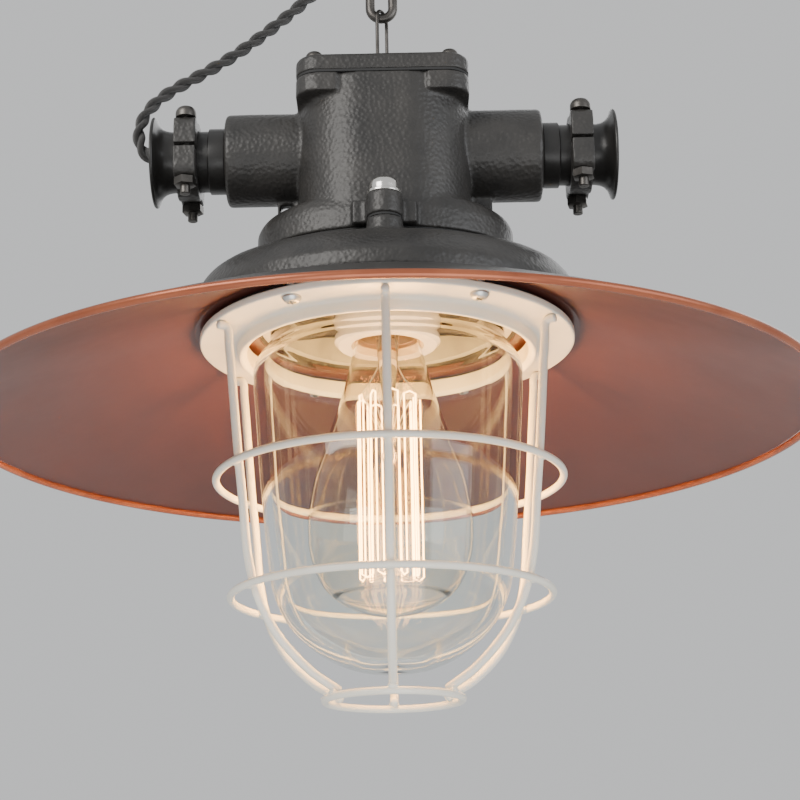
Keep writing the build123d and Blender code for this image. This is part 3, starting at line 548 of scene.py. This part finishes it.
def guard_screw_pieces():
    """Four domed screws, each with a cross cut in its head."""
    dome = rounded([(0.01, 0), (3.7, 0), (3.7, -0.7), (2.6, -2.1), (1.4, -2.4), (0.01, -2.45)], 0.7, 4)
    parts = []
    for angle in screw_angles:
        place = Matrix.Translation(turn(angle) @ Vector((0, -screw_circle * mm, h(0.02))))
        parts.append(spin(dome, 40, True, place))
        parts.append(spin([(0.01, 0), (1.9, 0), (1.9, 10), (0.01, 10)], 24, True, place))
    mesh = mesh_from(*merge(*parts))
    piece = finish_piece("guard_screw_skin", mesh, "pendant", zinc, ["guard_screws"], 40)
    cutter_parts = []
    for angle in screw_angles:
        spot = turn(angle) @ Vector((0, -screw_circle * mm, h(-2.6)))
        for wide, deep in ((3.6, 0.75), (0.75, 3.6)):
            cube = bmesh.new()
            bmesh.ops.create_cube(cube, size=1)
            bmesh.ops.scale(cube, vec=(wide * mm, deep * mm, 2.6 * mm), verts=cube.verts)
            bmesh.ops.transform(cube, matrix=Matrix.Translation(spot) @ turn(angle + 20), verts=cube.verts)
            corners = [v.co.copy() for v in cube.verts]
            cutter_parts.append((corners, [[v.index for v in f.verts] for f in cube.faces]))
            cube.free()
    carve(piece, cutter_parts)


def carve(piece, parts):
    """Cuts shapes out of a piece, for good."""
    for verts, faces in parts:
        cutter = bpy.data.objects.new("cutter", mesh_from(verts, faces))
        bpy.context.scene.collection.objects.link(cutter)
        cut = piece.modifiers.new("cut", "BOOLEAN")
        cut.operation = "DIFFERENCE"
        cut.solver = "EXACT"
        cut.object = cutter
        bpy.context.view_layer.update()
        shaped = bpy.data.meshes.new_from_object(piece.evaluated_get(bpy.context.evaluated_depsgraph_get()))
        piece.modifiers.clear()
        piece.data = shaped
        bpy.data.objects.remove(cutter)
    piece.data.shade_smooth()
    piece.data.set_sharp_from_angle(angle=math.radians(40))


guard_screw_pieces()


# ------------------------------------------------------------------ jar and lamp


def smooth_profile(points, per_span):
    """Smooth (r, height) profile through points whose heights are above the guard flange."""
    line = smooth_line([(r, 0, v + deck_mm) for r, v in points], per_span)
    return [(max(p.x, 0.02), p.z) for p in line]


def jar_piece():
    outer = [(46.5, 20), (46.5, 6), (46.7, 1.2), (49.2, -3.2), (52.0, -7.4), (53.0, -13.0), (51.6, -34),
             (49.9, -58), (47.0, -86), (44.9, -98.5), (38.6, -111.5), (27.6, -121.7), (14.0, -127.8),
             (0.02, -129.3)]
    inner = [(0.02, -125.2), (13.4, -123.6), (26.0, -117.8), (35.6, -109.0), (41.2, -97.0), (43.0, -86),
             (46.0, -58), (47.7, -34), (49.0, -13.6), (48.4, -8.4), (46.4, -4.4), (43.3, 0.6), (42.5, 5),
             (42.5, 20)]
    outline = smooth_profile(outer, 6) + smooth_profile(inner, 6)
    finish_piece("jar_skin", mesh_from(*spin(outline, 180)), "pendant", jar_glass, ["jar"], 70)


bulb_wall = 0.7


def bulb_pieces():
    outer = [(12.4, 20), (12.45, 6), (13.0, 1.0), (14.3, -4.5), (17.6, -18), (23.4, -36), (29.0, -53),
             (31.4, -66), (31.95, -75), (30.9, -85), (27.0, -94.4), (20.4, -101.4), (11.4, -106.2),
             (3.6, -107.9), (0.02, -108.3)]
    skin = smooth_profile(outer, 6)
    inner = [(max(r - bulb_wall, 0.02), v + (bulb_wall if r < 22 and v < deck_mm - 90 else 0.0))
             for r, v in skin]
    finish_piece("bulb_glass_skin", mesh_from(*spin(skin + inner[::-1], 128)), "pendant", bulb_glass,
                 ["bulb_glass"], 70)
    # screw cap with its rolled thread
    thread = [(12.7, 4.6), (13.2, 5.4)]
    for k in range(24):
        thread.append((12.75 + 0.5 * math.cos(k * math.pi), 6.6 + k * 0.62))
    thread += [(12.6, 21.6), (9.6, 23.9), (8.9, 24.2), (8.9, 23.4), (11.9, 21.2), (11.9, 4.6)]
    finish_piece("bulb_cap_skin", mesh_from(*spin([(r, v + deck_mm) for r, v in thread], 72)), "pendant", brass,
                 ["bulb_cap"], 30)


filament_top, filament_low = -22.0, -92.0
filament_ring, filament_runs = 12.5, 18


def stem_piece():
    stem = [(10.6, 16), (9.6, 12.5), (6.2, 8), (4.6, 3), (4.1, -4), (3.2, -14), (2.2, -21), (1.9, -30),
            (1.9, -42), (2.9, -44), (2.9, -46.4), (1.8, -48), (0.02, -48.4)]
    outline = [(0.02, 16 + deck_mm)] + smooth_profile(stem, 5)
    finish_piece("bulb_stem_skin", mesh_from(*spin(outline, 48, False)), "pendant", stem_glass,
                 ["bulb_stem"], 60)


def filament_pieces():
    top, low, count = filament_top, filament_low, filament_runs
    spots = []
    for k in range(count):
        a = 2 * math.pi * k / count + 0.12
        inset = 0.80 if k % 2 else 1.0
        spots.append((filament_ring * math.cos(a) * inset, filament_ring * math.sin(a) * inset))
    # one long wire that runs up and down between the two stars of hooks
    path = []
    for k, (x, y) in enumerate(spots):
        ends = (top, low) if k % 2 == 0 else (low, top)
        for step in range(9):
            t = step / 8
            path.append(Vector((x * mm, y * mm, h(ends[0] + (ends[1] - ends[0]) * t))))
        if k < count - 1:
            nx, ny = spots[k + 1]
            over = 1.2 if ends[1] == top else -1.2
            path.append(Vector(((x + nx) / 2 * mm, (y + ny) / 2 * mm, h(ends[1] + over))))
    finish_piece("filament_skin", mesh_from(*pipe(path, 0.34 * mm, 8)), "pendant", glow,
                 ["filament"], 80)
    # hooks, middle post and the two leads
    wires = []
    for x, y in spots:
        hub = Vector((0, 0, h(-44)))
        hook = Vector((x * mm, y * mm, h(top + 1.4)))
        bow = (hub + hook) / 2 + Vector((0, 0, 2.5 * mm))
        wires.append(pipe(smooth_line([hub, bow, hook], 4), 0.16 * mm, 6))
    for x, y in spots:
        hub = Vector((x * 0.12 * mm, y * 0.12 * mm, h(-88)))
        hook = Vector((x * mm, y * mm, h(low - 1.4)))
        bow = (hub + hook) / 2 + Vector((0, 0, -2.0 * mm))
        wires.append(pipe(smooth_line([hub, bow, hook], 4), 0.16 * mm, 6))
    post = [Vector((0, 0, h(v))) for v in (-47, -68, -88.5)]
    wires.append(pipe(smooth_line(post, 5), 0.5 * mm, 10))
    for side in (-1, 1):
        lead = [Vector((side * 2.0 * mm, 0, h(14))), Vector((side * 2.6 * mm, 0, h(-2))),
                Vector((side * 5.6 * mm, 0, h(-12))), Vector((side * spots[0][0] * mm, 0, h(top + 1)))]
        wires.append(pipe(smooth_line(lead, 6), 0.3 * mm, 8))
    finish_piece("filament_support_skin", mesh_from(*merge(*wires)), "pendant", zinc,
                 ["filament_supports"], 60)


jar_piece()
bulb_pieces()
stem_piece()
filament_pieces()


# ------------------------------------------------------------------ castings

recast("dome_casting", voxel=0.9, rounds=5, wobble=0.12)
recast("junction_box", voxel=0.8, rounds=4, wobble=0.12)
recast("box_cover", voxel=0.6, rounds=4, wobble=0.10)
recast("cord_clamps", voxel=0.5, rounds=4, wobble=0.08)

# neck, waist and bell mouth of a gland, turned about the gland's own axis
gland_outline = rounded(
    [(10.95, 50), (10.95, 64.1), (13.4, 64.1, 0.7), (13.4, 71.0, 0.6), (12.4, 71.0), (12.4, 86.5, 2.0),
     (13.2, 89.4, 1.5), (15.2, 91.4, 1.5), (18.3, 92.6, 0.5), (18.6, 93.4, 0.4), (18.0, 94.0, 0.5),
     (13.6, 91.4, 2.0), (9.2, 87.4, 2.5), (6.8, 82.6, 2.0), (6.5, 78.0), (6.5, 50)], 0.25, 4)
for side, name in ((-1, "gland_left"), (1, "gland_right")):
    lay = Matrix.Translation((0, 0, gland_z)) @ Matrix.Rotation(math.radians(90 * side), 4, "Y")
    finish_piece(name + "_skin", mesh_from(*spin(gland_outline, 120, True, lay)), "pendant", machined_black,
                 [name], 40)


# ------------------------------------------------------------------ fixings


clamp_x, clamp_y = 79.5, 14.5
housing_bolt_y = 43.0


def hexagon(radius, low, high, place):
    """Hexagon nut with its corners taken off."""
    chamfer, sides = 0.5, 6
    rings = [(radius - chamfer, low), (radius, low + chamfer * 0.6), (radius, high - chamfer * 0.6),
             (radius - chamfer, high)]
    verts, faces = [], []
    for r, v in rings:
        for k in range(sides):
            verts.append(place @ on_circle(r, math.pi / 3 * k + 0.3, v * mm))
    for i in range(len(rings) - 1):
        for k in range(sides):
            m = (k + 1) % sides
            faces.append((i * sides + k, i * sides + m, (i + 1) * sides + m, (i + 1) * sides + k))
    faces.append(tuple(range(sides))[::-1])
    faces.append(tuple(range((len(rings) - 1) * sides, len(rings) * sides)))
    return verts, faces


def cheese_head(place, radius, high, socket=0.0):
    """Rounded screw head standing on place, domed or with a hollow for a key."""
    outline = [(0.01, 0), (radius, 0), (radius, high * 0.62, high * 0.3), (radius * 0.72, high, high * 0.3)]
    if socket:
        outline += [(socket, high), (socket * 0.96, high * 0.35), (0.01, high * 0.3)]
    else:
        outline += [(0.01, high * 1.06)]
    return spin(rounded(outline, 0.25, 4), 40, True, place)


def cover_screw_piece():
    low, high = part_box("cover_screws")
    head_r = 3.6
    parts = []
    for x in (low.x + head_r * mm, high.x - head_r * mm):
        for y in (low.y + head_r * mm, high.y - head_r * mm):
            place = Matrix.Translation((x, y, high.z - 3.45 * mm))
            parts.append(cheese_head(place, head_r, 3.4, 1.8))
            parts.append(spin([(0.01, -14.4), (1.98, -14.4), (1.98, 0.2), (0.01, 0.2)], 24, True, place))
    finish_piece("cover_screw_skin", mesh_from(*merge(*parts)), "pendant", dark_steel,
                 ["cover_screws"], 35)


def clamp_bolt_piece():
    shank = rounded([(0.01, -20), (2.05, -20), (2.05, 13), (0.01, 13)], 0.4, 3)
    parts = []
    for x in (-clamp_x, clamp_x):
        for y in (-clamp_y, clamp_y):
            place = Matrix.Translation((x * mm, y * mm, gland_z))
            parts.append(cheese_head(place @ Matrix.Translation((0, 0, 12.95 * mm)), 4.2, 4.5))
            parts.append(hexagon(4.5, -16.6, -13.0, place))
            parts.append(spin(shank, 24, True, place))
    finish_piece("clamp_bolt_skin", mesh_from(*merge(*parts)), "pendant", dark_steel,
                 ["clamp_bolts"], 35)


def housing_bolt_piece():
    head_high = 7.4
    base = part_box("housing_bolts")[1].z - head_high * mm
    head = rounded([(0.01, 0), (6.6, 0), (6.6, 1.2, 0.4), (5.6, 1.25), (5.6, 3.6, 1.0), (4.9, 5.6, 1.6),
                    (2.8, 7.1, 1.6), (0.01, head_high)], 0.2, 5)
    parts = []
    for y in (-housing_bolt_y, housing_bolt_y):
        place = Matrix.Translation((0, y * mm, base))
        parts.append(spin(head, 48, True, place))
        parts.append(spin([(0.01, -20), (2.5, -20), (2.5, 0.1), (0.01, 0.1)], 24, True, place))
    finish_piece("housing_bolt_skin", mesh_from(*merge(*parts)), "pendant", bright,
                 ["housing_bolts"], 35)


cover_screw_piece()
clamp_bolt_piece()
housing_bolt_piece()


# ------------------------------------------------------------------ canopy, hook and chain


def canopy_piece():
    low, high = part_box("canopy")
    r, t = (high.x - low.x) / 2 / mm, high.z / mm
    b = low.z / mm
    outer = [(r, t), (r, t - 5), (r - 1.6, t - 9.5), (r - 8, t - 14), (31, b + 4.6), (24, b + 1.1),
             (19, b + 0.02), (10, b), (2.7, b)]
    line = smooth_line([(x, 0, v) for x, v in outer], 6)
    skin = [(p.x, p.z) for p in line]
    inner = [(x - 1.1 if x > 30 else x, v + (1.1 if x < 46 else 0)) for x, v in skin]
    inner[0] = (r - 1.2, t)
    finish_piece("canopy_skin", mesh_from(*spin(skin + inner[::-1], 128)), "ceiling_set", shade_back,
                 ["canopy"], 40)


def ring_line(centre, radius, across, count=64):
    """Upright circle whose level diameter runs along the vector across."""
    up = Vector((0, 0, 1))
    angles = [2 * math.pi * k / count for k in range(count)]
    return [centre + across * radius * math.cos(a) + up * radius * math.sin(a) for a in angles]


def upright(*heights):
    """Points on the vertical axis at these Zs."""
    return [Vector((0, 0, z)) for z in heights]


def hook_piece():
    low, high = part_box("ceiling_hook")
    centre = Vector((0, 0, low.z + 8.5 * mm))
    loop = pipe(ring_line(centre, 6.5 * mm, Vector((0, 1, 0))), 2.0 * mm, closed=True)
    stem = pipe(upright(centre.z + 6.5 * mm, centre.z + 9 * mm, high.z - 0.6 * mm),
                [2.1 * mm, 2.5 * mm, 2.5 * mm])
    finish_piece("hook_skin", mesh_from(*merge(loop, stem)), "ceiling_set", dark_steel,
                 ["ceiling_hook"], 60)


def eye_piece():
    low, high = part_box("eye_bolt")
    centre = Vector((0, 0, high.z - 6.6 * mm))
    loop = pipe(ring_line(centre, 4.6 * mm, Vector((1, 0, 0))), 2.0 * mm, closed=True)
    stem = pipe(upright(low.z + 0.6 * mm, low.z + 4 * mm, centre.z - 4.4 * mm), 2.45 * mm)
    collar = spin(rounded([(2.0, -1.0), (5.0, -1.0), (5.0, 0.0), (3.4, 0.9), (2.0, 0.9)], 0.3, 3), 40, True,
                  Matrix.Translation((0, 0, centre.z - 5.7 * mm)))
    finish_piece("eye_skin", mesh_from(*merge(loop, stem, collar)), "pendant", dark_steel,
                 ["eye_bolt"], 60)


def link_piece(name, body, half, wire, spun):
    """Chain link: half its inner-line width, its wire's radius, and its turn about the vertical in degrees."""
    low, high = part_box(name)
    bottom, top = low.z + (wire + half) * mm, high.z - (wire + half) * mm
    line = []
    for k in range(17):
        a = math.pi * k / 16
        line.append((half * mm * math.cos(a), top + half * mm * math.sin(a)))
    for k in range(1, 6):
        line.append((-half * mm, top + (bottom - top) * k / 6))
    for k in range(17):
        a = math.pi + math.pi * k / 16
        line.append((half * mm * math.cos(a), bottom + half * mm * math.sin(a)))
    for k in range(1, 6):
        line.append((half * mm, bottom + (top - bottom) * k / 6))
    path = [turn(spun) @ Vector((x, 0, v)) for x, v in line]
    finish_piece(name + "_skin", mesh_from(*pipe(path, wire * mm, 18, closed=True)), body, dark_steel,
                 [name], 60)


canopy_piece()
hook_piece()
eye_piece()
link_piece("upper_link", "upper_chain", 4.7, 2.0, 0)
link_piece("lower_link", "lower_chain", 4.1, 0.76, 62)


# ------------------------------------------------------------------ cord

cord_step = 0.5                              # millimetres between points on the centre line
strand_r, strand_sides = 1.42, 14
strand_offset, strand_pitch = 1.25, 15.0
braid_pitch = 4.0
strand_phases = (0.0, math.pi)
route = [
    (-35.0, 0.0, 81.2),
    (-52.0, 0.0, 81.2),
    (-64.0, 0.3, 80.9),
    (-77.0, 0.0, 81.3),
    (-89.0, -0.3, 80.9),
    (-96.8, -0.6, 83.4),
    (-100.6, -0.9, 90.4),
    (-99.9, -1.0, 98.8),
    (-95.2, -0.9, 106.8),
    (-87.2, -0.6, 113.4),
    (-77.0, -0.2, 119.4),
    (-63.0, 0.2, 128.0),
    (-47.2, 0.3, 140.2),
    (-32.0, 0.0, 153.4),
    (-22.4, -0.2, 162.8),
    (-16.0, 0.0, 172.6),
    (-13.5, 0.0, 183.0),
    (-13.5, 0.0, 193.0),
]


def nurbs_points(points, name):
    """Dense points on the smooth curve that has the route's points as its control points."""
    data = bpy.data.curves.new(name, "CURVE")
    data.dimensions = "3D"
    data.resolution_u = 24
    line = data.splines.new("NURBS")
    line.points.add(len(points) - 1)
    for spot, (x, y, v) in zip(line.points, points):
        spot.co = (x * mm, y * mm, h(v), 1)
    line.order_u = 3
    line.use_endpoint_u = True
    holder = bpy.data.objects.new(name, data)
    bpy.context.scene.collection.objects.link(holder)
    bpy.context.view_layer.update()
    mesh = bpy.data.meshes.new_from_object(holder)
    dense = [v.co.copy() for v in mesh.vertices]
    bpy.data.objects.remove(holder)
    bpy.data.meshes.remove(mesh)
    return dense


def even_points(line, gap):
    """Points a fixed distance apart along a line."""
    out = [line[0].copy()]
    left = gap
    for a, b in zip(line, line[1:]):
        run = (b - a).length
        walked = 0.0
        while run - walked > left:
            walked += left
            out.append(a.lerp(b, walked / run))
            left = gap
        left -= run - walked
    return out


centre_line = even_points(nurbs_points(route, "route"), cord_step * mm)


def strand_line(line, phase):
    """The line of one strand wound round the cord's centre line."""
    ahead = [(line[min(i + 1, len(line) - 1)] - line[max(i - 1, 0)]).normalized() for i in range(len(line))]
    normal = Vector((0, 1, 0))
    spots = []
    for i, p in enumerate(line):
        normal = (normal - ahead[i] * normal.dot(ahead[i])).normalized()
        cross = ahead[i].cross(normal)
        a = 2 * math.pi * (i * cord_step) / strand_pitch + phase
        spots.append(p + (normal * math.cos(a) + cross * math.sin(a)) * strand_offset * mm)
    return spots


all_strands = {phase: strand_line(centre_line, phase) for phase in strand_phases}


def cord_piece(name, node, start, end):
    """Two twisted strands between two places along the centre line."""
    parts = [pipe(all_strands[phase][start:end + 1], strand_r * mm, strand_sides, domed=False)
             for phase in strand_phases]
    verts, faces = merge(*parts)
    mesh = bpy.data.meshes.new(name)
    mesh.from_pydata([tuple(v) for v in verts], [], faces)
    layer = mesh.uv_layers.new(name="braid")
    per = len(parts[0][0])
    for loop in mesh.loops:
        i = loop.vertex_index % per
        layer.data[loop.index].uv = ((i % strand_sides) / strand_sides * 2,
                                     (i // strand_sides) * cord_step / braid_pitch)
    fix = bmesh.new()
    fix.from_mesh(mesh)
    bmesh.ops.recalc_face_normals(fix, faces=fix.faces)
    fix.to_mesh(mesh)
    fix.free()
    piece = finish_piece(name, mesh, None, cord_fabric, [node], 80)
    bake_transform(piece)


def nearest(x, high):
    """Index of the centre line's point nearest to a place in millimetres."""
    spot = Vector((x * mm, 0, h(high)))
    return min(range(len(centre_line)), key=lambda i: (centre_line[i] - spot).length)


cut_low, cut_high = nearest(-55.1, 134.1), nearest(-27.2, 158.1)
last = len(centre_line) - 1
cord_piece("cord_low_skin", "cord_lower", 0, cut_low)
cord_piece("cord_mid_skin", "cord_middle", cut_low, cut_high)
cord_piece("cord_top_skin", "cord_upper", cut_high, last)


# ------------------------------------------------------------------ CAD nodes that keep their shape

kept = {
    "ceiling_bracket": zinc, "hook_nuts": zinc, "cord_grip": black_plastic, "ceiling_connector": white_plastic,
    "eye_nut": zinc, "cover_gasket": rubber, "terminal_block": porcelain, "terminal_screws": brass,
    "earth_screw": brass, "lead_wires": red_wire, "supply_wires": red_wire, "grommet_left": rubber,
    "grommet_right": rubber, "housing_gasket": rubber, "shade_gasket": rubber, "jar_gasket": rubber,
    "jar_thread_ring": aluminium, "holder_body": porcelain, "holder_shell": brass, "holder_contact": brass,
    "holder_plate": zinc, "holder_screws": zinc, "bulb_insulator": black_plastic, "bulb_contact": zinc,
}
for name, made in kept.items():
    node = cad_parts[name]
    node.data.materials.clear()
    node.data.materials.append(made)

reach, floor_z = 60, -1.15                   # metres
floor_mesh = mesh_from([(x * reach, y * reach, floor_z) for x, y in ((-1, -1), (1, -1), (1, 1), (-1, 1))],
                       [(0, 1, 2, 3)])
floor = bpy.data.objects.new("floor", floor_mesh)
bpy.context.scene.collection.objects.link(floor)
floor_mesh.materials.append(principled("floor_pale", (0.86, 0.86, 0.85), 0.8))
